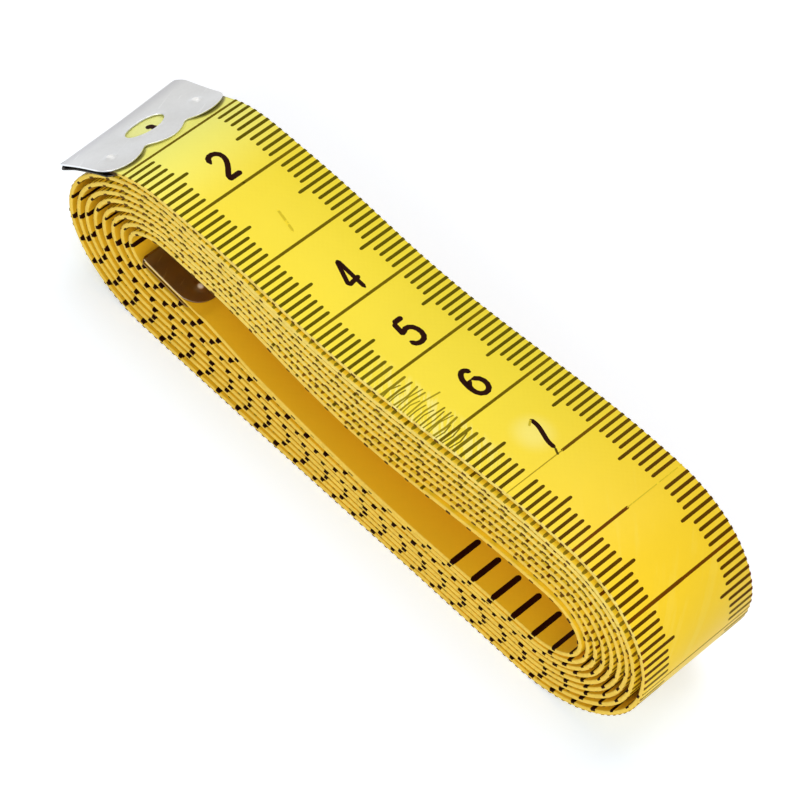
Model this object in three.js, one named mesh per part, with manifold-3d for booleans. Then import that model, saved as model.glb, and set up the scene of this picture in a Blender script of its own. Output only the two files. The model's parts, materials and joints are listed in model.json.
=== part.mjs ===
// Cloth tape measure, wound into a flat hank and lying on one of its long sides.
// Millimetres. +X runs along the hank, +Y across the tape and +Z up. The origin is
// on the table under the middle of the hank.
//
// The tape is one printed ribbon of coated cloth. It starts inside the hollow, runs
// round and round outwards, and ends on top. A folded tin clip closes each end.

import * as THREE from 'three';
import { mergeVertices } from 'three/addons/utils/BufferGeometryUtils.js';
import Module from 'manifold-3d';

const wasm = await Module();
wasm.setup();

// Tape
const tapeWidth = 19;
const tapeThickness = 0.35;
const overallLength = 1600; // along the tape, over both clips

// Hank
const loops = 9;
const hankHeight = 22; // where the top neither sags nor rises
const layerPitch = 0.765; // from the middle of one layer to the middle of the next, at least
const rightBendReach = 6.4; // how far the innermost right bend stands out along X
const rightBendGrowth = 1.08; // and how much farther each bend around it
const leftBendReach = 4.7; // the same two sizes for the left bends
const leftBendGrowth = 1.4;
const outerBendSlack = 0.3; // the outermost right bend stands off a little more
const innerEndOverhang = 2.4; // the inner end reaches this far into the left bends

// The bottom layers lie tight at the right and come apart towards the left
const bottomLooseness = 0.5; // added to each layer's pitch at most
const bottomLooseStart = -43;
const bottomTightStart = 14;

// The top layers lie tight at the left and come apart towards the right
const topLooseness = 0.32;
const topTightEnd = -25;
const topLooseStart = 12;

// The top of the hank sags near the middle and rises towards the right
const sagDepth = 0.58;
const sagPlace = -8;
const sagHalfLength = 9.7;
const riseHeight = 2.1;
const riseStart = -2;
const riseEnd = 27;

// Each top layer has slipped sideways by this much against the one above it
const layerSlip = 0.04;

// The outer end leaves the left bend and sticks out straight, with its clip
const outerEndAngle = THREE.MathUtils.degToRad(29);
const outerFallReach = 8.9; // the stretch along X on which the top layer turns down
const outerFall = 1.6; // and how far it falls there
const freeEndLead = 1.6; // the liftable end starts this far before the fall
const splitGap = 0.3; // between the faces of the hank and of its liftable end

// The inner end is held up by its clip, and slopes down straight while it is inside it
const innerEndLift = 0.6;
const innerLiftReach = 20;
const innerEndAngle = THREE.MathUtils.degToRad(5.4);

// End clips, stamped from tinplate and folded over the tape's ends
const clipWidth = 20;
const clipLength = 9.2; // from the fold to the tips of the lobes
const clipSheet = 0.25;
const clipClearance = 0.2; // between the tape and the sheet
const clipLobes = 3;
const clipNotchDepth = 1.4; // from the tips of the lobes back to the notches
const clipCornerRadius = 0.8;
const clipMouthLead = 0.2; // straight tape past the tips of the lobes
const windowLength = 3; // oval window, along the tape
const windowWidth = 5.8;
const windowPlace = 4.5; // from the fold
const pipRadius = 0.9;
const pipHeight = 0.25;
const pipPlace = 5.75; // from the fold
const pipSpacing = 13.6; // between the two pips of a clip
const cutOverrun = 1; // how far a cutting shape runs past what it cuts

// Steps along the curves
const bottomRunSteps = 10;
const topRunSteps = 12;
const bendSteps = 18;
const freeEndSteps = 18;
const foldSteps = 10;
const windowSteps = 24;
const pipSteps = 12;
const pipRings = 4;
const lengthSamples = 60; // points on each stretch when the tape's length is measured

// Colours of the tape's coating and of the tin
const tapeFinish = { color: 0xf6dc3c, roughness: 0.45, metalness: 0 };
const clipFinish = { color: 0xc9cacf, roughness: 0.32, metalness: 0.9 };

// Sizes that follow from the ones above
const clipHalfInside = tapeThickness / 2 + clipClearance;
const clipHalfOutside = clipHalfInside + clipSheet;
const tapeInset = clipHalfOutside; // from the outside of the fold to the tape's end
const ribbonLength = overallLength - 2 * tapeInset;
const clipStraight = clipLength - tapeInset + clipMouthLead;

const mix = THREE.MathUtils.lerp;
const smoothstep = THREE.MathUtils.smoothstep;

// Height of the top of the hank above a level one, at place x along it.
function topWave(x) {
  const sag = sagDepth * Math.exp(-(((x - sagPlace) / sagHalfLength) ** 2));
  return riseHeight * smoothstep(x, riseStart, riseEnd) - sag;
}

// Height of the middle of a bottom layer, with turnsIn layers between it and the table.
function bottomLevel(turnsIn, x) {
  const loose = bottomLooseness * (1 - smoothstep(x, bottomLooseStart, bottomTightStart));
  return tapeThickness / 2 + turnsIn * (layerPitch + loose);
}

// Height of the middle of a top layer, with turnsIn layers over it.
function topLevel(turnsIn, x) {
  const loose = topLooseness * smoothstep(x, topTightEnd, topLooseStart);
  return hankHeight - tapeThickness / 2 + topWave(x) - turnsIn * (layerPitch + loose);
}

// The winding as a list of stretches, from the inner end to the outer end. Each has a
// function that gives its point at a share of its way, and its number of steps. A bend
// is a half ellipse between the levels of the two runs it joins, and each left bend
// comes down on the next layer.
function windingStretches(flatLength) {
  const right = flatLength / 2;
  const left = -right;
  const splitPlace = left + freeEndLead;
  const stretches = [];

  for (let loop = 0; loop < loops; loop++) {
    const turnsIn = loops - 1 - loop;
    const outermost = turnsIn === 0;
    const pointAt = (x, rise, bottomTurnsIn) => new THREE.Vector3(
      x,
      -layerSlip * turnsIn * smoothstep(rise, 0, 1),
      mix(bottomLevel(bottomTurnsIn, x), topLevel(turnsIn, x), rise),
    );

    if (loop === 0) {
      const start = left - innerEndOverhang;
      const mouth = start + clipStraight;
      const mouthLevel = bottomLevel(turnsIn, mouth) + innerEndLift;
      stretches.push({
        steps: 1,
        at: (share) => {
          const x = mix(start, mouth, share);
          return new THREE.Vector3(x, 0, mouthLevel + (mouth - x) * Math.tan(innerEndAngle));
        },
      });
      stretches.push({
        steps: topRunSteps,
        at: (share) => {
          const point = pointAt(mix(mouth, right, share), 0, turnsIn);
          point.z += innerEndLift * (1 - smoothstep(point.x, mouth, start + innerLiftReach));
          return point;
        },
      });
    } else {
      stretches.push({
        steps: outermost ? 1 : bottomRunSteps, // the outermost run lies flat on the table
        at: (share) => pointAt(mix(left, right, share), 0, turnsIn),
      });
    }

    const rightReach = rightBendReach + rightBendGrowth * loop + (outermost ? outerBendSlack : 0);
    stretches.push({
      steps: bendSteps,
      at: (share) => {
        const angle = Math.PI * (share - 1 / 2);
        return pointAt(right + rightReach * Math.cos(angle), (1 + Math.sin(angle)) / 2, turnsIn);
      },
    });

    const end = outermost ? splitPlace : left;
    stretches.push({
      steps: topRunSteps,
      at: (share) => pointAt(mix(right, end, share), 1, turnsIn),
    });

    if (!outermost) {
      const leftReach = leftBendReach + leftBendGrowth * (loop + 1 / 2);
      stretches.push({
        steps: bendSteps,
        at: (share) => {
          const angle = Math.PI * (share + 1 / 2);
          return pointAt(left + leftReach * Math.cos(angle), (1 + Math.sin(angle)) / 2, turnsIn - 1);
        },
      });
    }
  }

  // The outer end follows the top, then falls below it as a power of the way, then straight
  const mouth = left - outerFallReach;
  const tip = mouth - clipStraight * Math.cos(outerEndAngle);
  const fallPower = (Math.tan(outerEndAngle) * outerFallReach) / outerFall;
  const fallAt = (x) => {
    if (x < mouth) return outerFall + (mouth - x) * Math.tan(outerEndAngle);
    return outerFall * (Math.max(left - x, 0) / outerFallReach) ** fallPower;
  };
  stretches.push({
    steps: freeEndSteps,
    free: true,
    at: (share) => {
      const x = mix(splitPlace, tip, share);
      return new THREE.Vector3(x, 0, topLevel(0, x) - fallAt(x));
    },
  });
  return stretches;
}

// Length of the tape along a winding, summed over fine steps of every stretch.
function windingLength(stretches) {
  let length = 0;
  for (const { at } of stretches) {
    for (let i = 0; i < lengthSamples; i++) {
      length += at(i / lengthSamples).distanceTo(at((i + 1) / lengthSamples));
    }
  }
  return length;
}

// The flat length of the hank that makes the whole ribbon as long as it should be.
// The tape's length grows almost evenly with it, so a few secant steps are enough.
function flatLengthFor(wanted) {
  const runs = 2 * loops;
  let flat = wanted / (2 * runs);
  for (let round = 0; round < runs; round++) {
    flat += (wanted - windingLength(windingStretches(flat))) / runs;
  }
  return flat;
}

// Cross-sections of the tape along some stretches: the middle of each, and the
// direction that points out of the hank there.
function tapeSections(stretches) {
  const sections = [];
  const nudge = 1 / (lengthSamples * lengthSamples);
  stretches.forEach(({ at, steps }, index) => {
    for (let i = index === 0 ? 0 : 1; i <= steps; i++) {
      const share = i / steps;
      const before = at(Math.max(share - nudge, 0));
      const after = at(Math.min(share + nudge, 1));
      const along = after.sub(before).setY(0).normalize();
      const out = new THREE.Vector3(along.z, 0, -along.x);
      sections.push({ middle: at(share), out });
    }
  });
  return sections;
}

// A closed strip of the tape's width and thickness through a list of sections.
function stripGeometry(sections) {
  const across = new THREE.Vector3(0, tapeWidth / 2, 0);
  const positions = [];
  for (const { middle, out } of sections) {
    const half = out.clone().multiplyScalar(tapeThickness / 2);
    const upper = middle.clone().add(half);
    const lower = middle.clone().sub(half);
    positions.push(
      ...upper.clone().sub(across).toArray(),
      ...upper.add(across).toArray(),
      ...lower.clone().add(across).toArray(),
      ...lower.sub(across).toArray(),
    );
  }
  const sides = 4;
  const indices = [];
  for (let i = 0; i < sections.length - 1; i++) {
    for (let side = 0; side < sides; side++) {
      const a = i * sides + side;
      const b = i * sides + ((side + 1) % sides);
      indices.push(a, b, b + sides, a, b + sides, a + sides);
    }
  }
  const last = (sections.length - 1) * sides;
  indices.push(0, 2, 1, 0, 3, 2, last, last + 1, last + 2, last, last + 2, last + 3);
  const geometry = new THREE.BufferGeometry();
  geometry.setAttribute('position', new THREE.Float32BufferAttribute(positions, 3));
  geometry.setIndex(indices);
  geometry.computeVertexNormals();
  return geometry;
}

function toSolid(geometry) {
  const bare = geometry.clone();
  bare.deleteAttribute('normal');
  bare.deleteAttribute('uv');
  const merged = mergeVertices(bare);
  const vertProperties = Float32Array.from(merged.attributes.position.array);
  const triVerts = Uint32Array.from(merged.index.array);
  return new wasm.Manifold(new wasm.Mesh({ numProp: 3, vertProperties, triVerts }));
}

function toGeometry(solid) {
  const { vertProperties, triVerts } = solid.getMesh();
  const geometry = new THREE.BufferGeometry();
  geometry.setAttribute('position', new THREE.BufferAttribute(new Float32Array(vertProperties), 3));
  geometry.setIndex(new THREE.BufferAttribute(new Uint32Array(triVerts), 1));
  geometry.computeVertexNormals();
  return geometry;
}

// Outline of the folded clip seen from above: the fold along X = 0 with small round
// corners, straight sides, and a row of round lobes at the mouth.
function clipOutline() {
  const lobeWidth = clipWidth / clipLobes;
  const lobeRadius = ((lobeWidth / 2) ** 2 + clipNotchDepth ** 2) / (2 * clipNotchDepth);
  const lobeCentre = clipLength - lobeRadius;
  const lobeHalfAngle = Math.asin(lobeWidth / 2 / lobeRadius);
  const side = clipWidth / 2;
  const r = clipCornerRadius;
  const shape = new THREE.Shape();
  shape.moveTo(0, side - r);
  shape.absarc(r, -side + r, r, Math.PI, Math.PI * 3 / 2, false);
  for (let lobe = 0; lobe < clipLobes; lobe++) {
    const y = -side + lobeWidth * (lobe + 1 / 2);
    shape.absarc(lobeCentre, y, lobeRadius, -lobeHalfAngle, lobeHalfAngle, false);
  }
  shape.absarc(r, side - r, r, Math.PI / 2, Math.PI, false);
  return shape;
}

// The folded sheet seen from the side: a U that is open at its mouth.
function clipFold() {
  const mouth = clipLength + cutOverrun;
  const centre = clipHalfOutside;
  const shape = new THREE.Shape();
  shape.moveTo(mouth, clipHalfOutside);
  shape.absarc(centre, 0, clipHalfOutside, Math.PI / 2, Math.PI * 3 / 2, false);
  shape.lineTo(mouth, -clipHalfOutside);
  shape.lineTo(mouth, -clipHalfInside);
  shape.absarc(centre, 0, clipHalfInside, Math.PI * 3 / 2, Math.PI / 2, true);
  shape.lineTo(mouth, clipHalfInside);
  return shape;
}

// One pip: a low round cap on the face of the sheet, sunk into it by half the sheet.
function pipGeometry(y) {
  const capRadius = (pipRadius ** 2 + pipHeight ** 2) / (2 * pipHeight);
  const capHalfAngle = Math.asin(pipRadius / capRadius);
  const root = -clipSheet / 2;
  const profile = [new THREE.Vector2(0, root), new THREE.Vector2(pipRadius, root)];
  for (let ring = 0; ring <= pipRings; ring++) {
    const angle = capHalfAngle * (1 - ring / pipRings);
    const radius = ring === pipRings ? 0 : capRadius * Math.sin(angle);
    profile.push(new THREE.Vector2(radius, pipHeight - capRadius * (1 - Math.cos(angle))));
  }
  const cap = new THREE.LatheGeometry(profile, pipSteps);
  cap.rotateX(Math.PI / 2);
  cap.translate(pipPlace, y, clipHalfOutside);
  return cap;
}

// An end clip in its own frame: the fold's outside at X = 0, the mouth towards +X,
// the tape's middle at Z = 0 and the printed face up.
function clipGeometry() {
  const fold = new THREE.ExtrudeGeometry(clipFold(), {
    depth: clipWidth + 2 * cutOverrun,
    curveSegments: foldSteps,
    bevelEnabled: false,
  });
  fold.rotateX(Math.PI / 2);
  fold.translate(0, clipWidth / 2 + cutOverrun, 0);

  const outline = new THREE.ExtrudeGeometry(clipOutline(), {
    depth: 2 * (clipHalfOutside + cutOverrun),
    curveSegments: foldSteps,
    bevelEnabled: false,
  });
  outline.translate(0, 0, -clipHalfOutside - cutOverrun);

  const oval = new THREE.Shape();
  oval.absellipse(windowPlace, 0, windowLength / 2, windowWidth / 2, 0, 2 * Math.PI, false, 0);
  const window = new THREE.ExtrudeGeometry(oval, {
    depth: clipHalfOutside + cutOverrun,
    curveSegments: windowSteps,
    bevelEnabled: false,
  });

  let clip = toSolid(fold).intersect(toSolid(outline)).subtract(toSolid(window));
  for (const side of [-1, 1]) clip = clip.add(toSolid(pipGeometry(side * pipSpacing / 2)));
  return toGeometry(clip);
}

// Least distance between the outside of one turn and the inside of the next, taken
// from every section to every stretch between two sections of another turn.
function leastSelfGap(sections) {
  const half = tapeThickness / 2;
  const outside = sections.map(({ middle, out }) => middle.clone().addScaledVector(out, half).setY(0));
  const inside = sections.map(({ middle, out }) => middle.clone().addScaledVector(out, -half).setY(0));
  const stepsPerHalfTurn = bottomRunSteps + bendSteps;
  const nearest = new THREE.Vector3();
  let least = Infinity;
  for (let i = 0; i < outside.length; i++) {
    for (let j = i + stepsPerHalfTurn; j < inside.length - 1; j++) {
      new THREE.Line3(inside[j], inside[j + 1]).closestPointToPoint(outside[i], true, nearest);
      least = Math.min(least, nearest.distanceTo(outside[i]));
    }
  }
  return least;
}

function namedMesh(name, geometry, finish) {
  const mesh = new THREE.Mesh(geometry, new THREE.MeshStandardMaterial(finish));
  mesh.name = name;
  return mesh;
}

// A clip on one end of the tape: its own X axis runs from the tape's end into the tape.
function placedClip(name, end, inward, printedUp) {
  const clip = namedMesh(name, clipGeometry(), clipFinish);
  const across = new THREE.Vector3().crossVectors(printedUp, inward);
  clip.quaternion.setFromRotationMatrix(new THREE.Matrix4().makeBasis(inward, across, printedUp));
  clip.position.copy(end).addScaledVector(inward, -tapeInset);
  return clip;
}

const stretches = windingStretches(flatLengthFor(ribbonLength));
const wound = stretches.filter((stretch) => !stretch.free);
const free = stretches.filter((stretch) => stretch.free);
const woundSections = tapeSections(wound);
const freeSections = tapeSections(free);

// The two faces at the split each step back by half the gap
woundSections[woundSections.length - 1].middle.x += splitGap / 2;
freeSections[0].middle.x -= splitGap / 2;

const innerEnd = woundSections[0];
const innerInward = new THREE.Vector3(-innerEnd.out.z, 0, innerEnd.out.x);
const outerEnd = freeSections[freeSections.length - 1];
const outerInward = new THREE.Vector3(outerEnd.out.z, 0, -outerEnd.out.x);

const hank = new THREE.Group();
hank.add(namedMesh('tape_coil', stripGeometry(woundSections), tapeFinish));
hank.add(placedClip('inner_clip', innerEnd.middle, innerInward, innerEnd.out.clone().negate()));

const liftableEnd = new THREE.Group();
liftableEnd.add(namedMesh('tape_free_end', stripGeometry(freeSections), tapeFinish));
liftableEnd.add(placedClip('outer_clip', outerEnd.middle, outerInward, outerEnd.out));

const tapeMeasure = new THREE.Group();
tapeMeasure.add(hank, liftableEnd);
const bounds = new THREE.Box3().setFromObject(tapeMeasure, true);
const middle = bounds.getCenter(new THREE.Vector3());
tapeMeasure.position.set(-middle.x, -middle.y, -bounds.min.z);

const ribbon = windingLength(stretches);
const leastGap = leastSelfGap(woundSections.concat(freeSections));
const splitMiddle = woundSections[woundSections.length - 1].middle;
const hingeX = splitMiddle.x - splitGap / 2 - middle.x;
const hingeZ = splitMiddle.z + tapeThickness / 2 - bounds.min.z;
console.log(`ribbon ${ribbon.toFixed(2)} mm long, ${loops} loops`);
console.log(`least gap of the tape to itself ${leastGap.toFixed(3)} mm`);
console.log(`hinge of the liftable end at x ${hingeX.toFixed(3)} mm, z ${hingeZ.toFixed(3)} mm`);

export default tapeMeasure;
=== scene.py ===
# %% [markdown]
# # A cloth tape measure, wound into a flat hank
#
# The real object is one ribbon of woven cloth with a smooth yellow coating. It is
# printed with centimetres on one face and inches on the other, and a folded tin clip
# protects each end. It is wound flat, as if round two fingers, and lies on a table, so
# we see a flat coil with its edges stacked up at the front.
#
# The CAD model gives the frame: where the coil, its loose end and the two clips are,
# and which body each of them rides on. This lesson dresses that frame. The shapes are
# surfaces worked out with numpy, and the finishes are procedural shader nodes.

# %% Load the frame
import json
import bpy
import bmesh
import numpy as np
from mathutils import Matrix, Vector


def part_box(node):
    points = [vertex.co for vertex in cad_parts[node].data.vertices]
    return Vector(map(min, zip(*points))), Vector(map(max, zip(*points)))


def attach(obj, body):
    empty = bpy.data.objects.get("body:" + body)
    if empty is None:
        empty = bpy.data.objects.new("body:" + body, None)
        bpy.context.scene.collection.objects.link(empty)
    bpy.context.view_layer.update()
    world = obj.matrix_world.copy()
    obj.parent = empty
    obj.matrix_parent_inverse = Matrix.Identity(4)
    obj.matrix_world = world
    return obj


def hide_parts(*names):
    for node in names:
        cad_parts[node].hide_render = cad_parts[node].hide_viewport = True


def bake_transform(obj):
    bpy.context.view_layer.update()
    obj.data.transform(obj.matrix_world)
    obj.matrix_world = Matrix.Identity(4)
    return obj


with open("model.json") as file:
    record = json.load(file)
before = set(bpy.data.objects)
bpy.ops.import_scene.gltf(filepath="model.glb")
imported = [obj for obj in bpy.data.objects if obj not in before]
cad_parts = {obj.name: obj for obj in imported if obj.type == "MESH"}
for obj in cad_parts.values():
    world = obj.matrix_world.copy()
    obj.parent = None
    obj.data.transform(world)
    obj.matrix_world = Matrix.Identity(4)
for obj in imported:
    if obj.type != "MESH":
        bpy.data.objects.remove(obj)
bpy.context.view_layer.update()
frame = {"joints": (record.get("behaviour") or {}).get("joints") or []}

# %% [markdown]
# ## The way the tape is wound
#
# Everything on this object follows one line: the middle of the tape. The CAD model
# builds that line from a few sizes, and the same sizes are repeated here in
# millimetres, so that the fine surface lies where the coarse one does. There are nine
# loops. Each has a run along the bottom, a bend at the right, a run along the top and
# a bend at the left that comes down on the next loop.
#
# The bottom layers lie tight at the right and come apart towards the left, and the top
# layers do the opposite, as if the coil had been pressed out of true.

# %% Sizes of the winding, in millimetres
MM = 0.001

tape_width = 19.0
overall_length = 1600.0
cad_thickness = 0.35
loops = 9
hank_height = 22.0
layer_pitch = 0.765
right_bend_reach, right_bend_growth = 6.4, 1.08
left_bend_reach, left_bend_growth = 4.7, 1.4
outer_bend_slack = 0.3
inner_end_overhang = 2.4
layer_slip = 0.04

clip_length, clip_mouth_lead = 9.2, 0.2
clip_sheet, clip_clearance = 0.25, 0.2
tape_inset = cad_thickness / 2 + clip_clearance + clip_sheet
clip_straight = clip_length - tape_inset + clip_mouth_lead

outer_end_angle = np.radians(29.0)
outer_fall_reach, outer_fall = 8.9, 1.6
inner_end_lift, inner_lift_reach = 0.6, 20.0
inner_end_angle = np.radians(5.4)

bottom_opening, bottom_loose_at, bottom_tight_at = 0.5, -43.0, 14.0
top_opening, top_tight_at, top_loose_at = 0.32, -25.0, 12.0
top_rise, rise_start, rise_end = 2.1, -2.0, 27.0
top_sag, sag_middle, sag_half_length = 0.58, -8.0, 9.7


def smoothstep(x, start, end):
    """0 before start, 1 after end, and 3 t squared minus 2 t cubed between them."""
    t = np.clip((x - start) / (end - start), 0.0, 1.0)
    return t * t * (3.0 - 2.0 * t)


def bottom_level(turns_in, x):
    """Height of a bottom layer: its number times the pitch, which opens to the left."""
    loose = bottom_opening * (1.0 - smoothstep(x, bottom_loose_at, bottom_tight_at))
    return cad_thickness / 2 + turns_in * (layer_pitch + loose)


def top_level(turns_in, x):
    """Height of a top layer: a sag (a bell curve) and a rise on the hank's height, less
    its number times the pitch, which opens to the right."""
    rise = top_rise * smoothstep(x, rise_start, rise_end)
    sag = top_sag * np.exp(-(((x - sag_middle) / sag_half_length) ** 2))
    loose = top_opening * smoothstep(x, top_tight_at, top_loose_at)
    return hank_height - cad_thickness / 2 + (rise - sag) - turns_in * (layer_pitch + loose)


# %% [markdown]
# The line is made of stretches. A run goes straight along X, and a bend is a half
# ellipse whose height is mixed between the bottom level and the top level. We sample
# each stretch with many points at once, join them, and measure the length along them.
# The flat part of the hank is then adjusted until the whole tape is 1.6 metres long, as
# the CAD model does. That length is chosen and not measured: it is what such a tape
# usually has, and the photograph doesn't show it.

# %% The middle line of the tape
def winding_points(flat, samples):
    """Points (x, y, z) of the tape's middle, from the inner end to the outer end."""
    right, left = flat / 2, -flat / 2
    t = np.linspace(0.0, 1.0, samples)
    stretches = []

    def add(x, rise, turns_in, bottom_turns, lift=0.0):
        z = bottom_level(bottom_turns, x) * (1 - rise) + top_level(turns_in, x) * rise
        y = -layer_slip * turns_in * smoothstep(rise, 0.0, 1.0)
        stretches.append(np.stack([x, y + 0.0 * x, z + lift], axis=1))

    for loop in range(loops):
        turns_in = loops - 1 - loop
        level, full = 0.0 * t, 1.0 + 0.0 * t
        if loop == 0:
            start = left - inner_end_overhang
            mouth = start + clip_straight
            x = start + (mouth - start) * t
            z = bottom_level(turns_in, mouth) + inner_end_lift
            z = z + (mouth - x) * np.tan(inner_end_angle)
            stretches.append(np.stack([x, 0 * x, z], axis=1))
            x = mouth + (right - mouth) * t
            add(x, level, turns_in, turns_in,
                inner_end_lift * (1 - smoothstep(x, mouth, start + inner_lift_reach)))
        else:
            add(left + flat * t, level, turns_in, turns_in)
        angle = np.pi * (t - 0.5)
        reach = right_bend_reach + right_bend_growth * loop
        reach += outer_bend_slack if turns_in == 0 else 0.0
        add(right + reach * np.cos(angle), (1 + np.sin(angle)) / 2, turns_in, turns_in)
        add(right - flat * t, full, turns_in, turns_in)
        if turns_in:
            angle = np.pi * (t + 0.5)
            reach = left_bend_reach + left_bend_growth * (loop + 0.5)
            add(left + reach * np.cos(angle), (1 + np.sin(angle)) / 2, turns_in, turns_in - 1)

    mouth = left - outer_fall_reach
    tip = mouth - clip_straight * np.cos(outer_end_angle)
    power = np.tan(outer_end_angle) * outer_fall_reach / outer_fall
    x = left + (tip - left) * t
    fall = outer_fall * (np.clip(left - x, 0, outer_fall_reach) / outer_fall_reach) ** power
    fall += np.clip(mouth - x, 0, None) * np.tan(outer_end_angle)
    stretches.append(np.stack([x, 0 * x, top_level(0, x) - fall], axis=1))

    return np.concatenate([s if i == 0 else s[1:] for i, s in enumerate(stretches)])


def line_length(points):
    """Sum of the distances between neighbouring points."""
    return np.linalg.norm(np.diff(points, axis=0), axis=1).sum()


ribbon_length = overall_length - 2 * tape_inset
flat_length = ribbon_length / (4 * loops)
for _ in range(2 * loops):
    flat_length += (ribbon_length - line_length(winding_points(flat_length, 61))) / (2 * loops)
line = winding_points(flat_length, 241)

right_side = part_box("tape_coil")[1][0] / MM
line[:, 0] += right_side - (line[:, 0].max() + cad_thickness / 2)
print(f"flat part {flat_length:.2f} mm, ribbon {line_length(line):.1f} mm")

# %% [markdown]
# A place on the tape is given by its distance from the outer fold, because that is
# what the printed scale counts. So the line is turned round to start there. At every
# point we also keep the direction that points out of the coil: the tape's direction
# turned by a quarter. The centimetre face looks that way.

# %% Places along the tape
steps = np.linalg.norm(np.diff(line[::-1], axis=0), axis=1)
place_of_point = tape_inset + np.concatenate([[0.0], np.cumsum(steps)])
line = line[::-1]
forward = np.gradient(line, place_of_point, axis=0)
forward[:, 1] = 0.0
forward /= np.linalg.norm(forward, axis=1)[:, None]
outward = np.stack([-forward[:, 2], 0 * forward[:, 0], forward[:, 0]], axis=1)
tape_start, tape_end = place_of_point[0], place_of_point[-1]
second_turn_place, second_turn_out, ends_out = 262.0, 0.34, 0.3


def wander(place):
    """Sideways wander of the tape in millimetres: two slow sines, still at the ends, a
    bell curve where the second turn stands out towards us under the first, and a step
    for each end of the tape, which stand out too."""
    slow = 0.10 * np.sin(place / 27.0 + 0.6) + 0.06 * np.sin(place / 9.7)
    slow = slow * smoothstep(place, 15.0, 60.0) * smoothstep(tape_end - place, 15.0, 60.0)
    stands_out = second_turn_out * np.exp(-(((place - second_turn_place) / 38.0) ** 2))
    from_end = np.minimum(2.5 * place, tape_end - place)
    return slow - stands_out - ends_out * smoothstep(from_end, 70.0, 20.0)


hinge = next(joint for joint in frame["joints"] if joint["name"] == "free_end_lift")
hinge_point = np.array(hinge["pos_m"]) / MM
near_hinge = (place_of_point < 60) & (line[:, 2] > hank_height / 2)
split_place = float(np.interp(hinge_point[0], line[near_hinge, 0], place_of_point[near_hinge]))
print(f"tape from {tape_start:.2f} to {tape_end:.1f} mm, loose end up to {split_place:.2f} mm")

# %% [markdown]
# ## Meshes from arrays
#
# A strip, a printed line and a number are all the same kind of shape: a small closed
# outline carried along a path. If each place on the path has the same number of
# outline points, the whole surface is one block of numbers, and its faces follow from
# counting. That is quick, and it leaves no gaps.

# %% Mesh helpers
def new_piece(name, points, faces, uv=None, smooth=False):
    """A mesh object at the origin, from points in millimetres and quads. uv holds one
    pair of numbers for each point, and is spread to the corners of the faces."""
    mesh = bpy.data.meshes.new(name)
    points, faces = points.reshape(-1, 3) * MM, faces.reshape(-1, 4)
    mesh.vertices.add(len(points))
    mesh.vertices.foreach_set("co", points.astype(np.float32).ravel())
    mesh.loops.add(faces.size)
    mesh.loops.foreach_set("vertex_index", faces.astype(np.int32).ravel())
    mesh.polygons.add(len(faces))
    mesh.polygons.foreach_set("loop_start", np.arange(0, faces.size, 4, dtype=np.int32))
    mesh.polygons.foreach_set("use_smooth", np.full(len(faces), smooth))
    mesh.update(calc_edges=True)
    if uv is not None:
        corners = uv.reshape(-1, 2)[faces.ravel()].astype(np.float32)
        mesh.uv_layers.new(name="tape").data.foreach_set("uv", corners.ravel())
    piece = bpy.data.objects.new(name, mesh)
    bpy.context.scene.collection.objects.link(piece)
    return piece


def grid_faces(rows, wide, closed=True):
    """Quads of a grid of points: each joins point j and j + 1 of one row to the same two
    of the next. In a closed grid the last point of a row is joined to its first."""
    i, j = np.meshgrid(np.arange(rows - 1), np.arange(wide if closed else wide - 1),
                       indexing="ij")
    k = (j + 1) % wide
    quads = [i * wide + j, i * wide + k, (i + 1) * wide + k, (i + 1) * wide + j]
    return np.stack(quads, axis=-1).reshape(-1, 4)


def read_off(at, known, table):
    """The columns of a table of known places, read off at other places: a straight line
    between each row and the next."""
    return np.stack([np.interp(at, known, column) for column in table.T], axis=-1)


def keep_on_points(piece, name, values):
    """Stores one number for each point of a mesh, where a material can read it."""
    layer = piece.data.attributes.new(name, "FLOAT", "POINT")
    layer.data.foreach_set("value", values.astype(np.float32))


def triangle_count(piece):
    """Triangles of a mesh: each face gives two less than its number of corners."""
    corners = np.zeros(len(piece.data.polygons), np.int32)
    piece.data.polygons.foreach_get("loop_total", corners)
    return int((corners - 2).sum())


# %% [markdown]
# ## The ribbon
#
# The real tape is cloth dipped in a yellow coating and cut to 19 mm, and its cut edges
# are slightly rounded. The CAD strip is thin, so that its layers keep clear of each
# other; here the tape is 0.6 mm thick, grown inwards, and its layers nearly touch.
#
# We could draw a curve and bevel it, but a curve twists where it likes. It is safer to carry
# the cross-section along the line ourselves: the broad face then stays exactly across the
# hank, and every place knows its own distance along the tape. That distance and the place
# across become the UV map, so that weave and wear run with the cloth. The points also keep how
# far they are from the centimetre face towards the inch face, because the inch face is painted
# a deeper yellow, as the shade of the hollow where it shows. The sections lie closer in the
# end that is bent down, so that the ink on it stays clear of the coating.

# %% The ribbon's cross-section and table of places
tape_thickness = 0.6
face_height = cad_thickness / 2          # the centimetre face, as in the CAD
back_height = face_height - tape_thickness
edge_radius = 0.16
section_step = 0.45

bent_part = np.arange(tape_start, clip_length + 0.6, section_step / 5)
sections = int((tape_end - bent_part[-1]) / section_step) + 1
places = np.linspace(bent_part[-1], tape_end, sections)
places = np.concatenate([bent_part, places[1:]])
middles = read_off(places, place_of_point, line)
middles[:, 1] += wander(places)
normals = read_off(places, place_of_point, outward)
normals /= np.linalg.norm(normals, axis=1)[:, None]
tip_droop, tip_twist = 0.45, 0.7


def droop(place, across):
    """How far the outer end is bent down: a square law from the clip's mouth to the tip,
    more on the near side and less on the far side."""
    bend = tip_droop - tip_twist * across / (tape_width / 2)
    return bend * np.clip(1 - place / clip_length, 0, 1) ** 2


def pressed(place):
    """Share by which the clips press the inch side in, which makes the tape as thin
    there as the CAD's."""
    from_fold = np.minimum(place, tape_end + tape_inset - place)
    most = 1 + cad_thickness / 2 / back_height
    return most * smoothstep(from_fold, clip_length + 1.5, clip_length)


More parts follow.
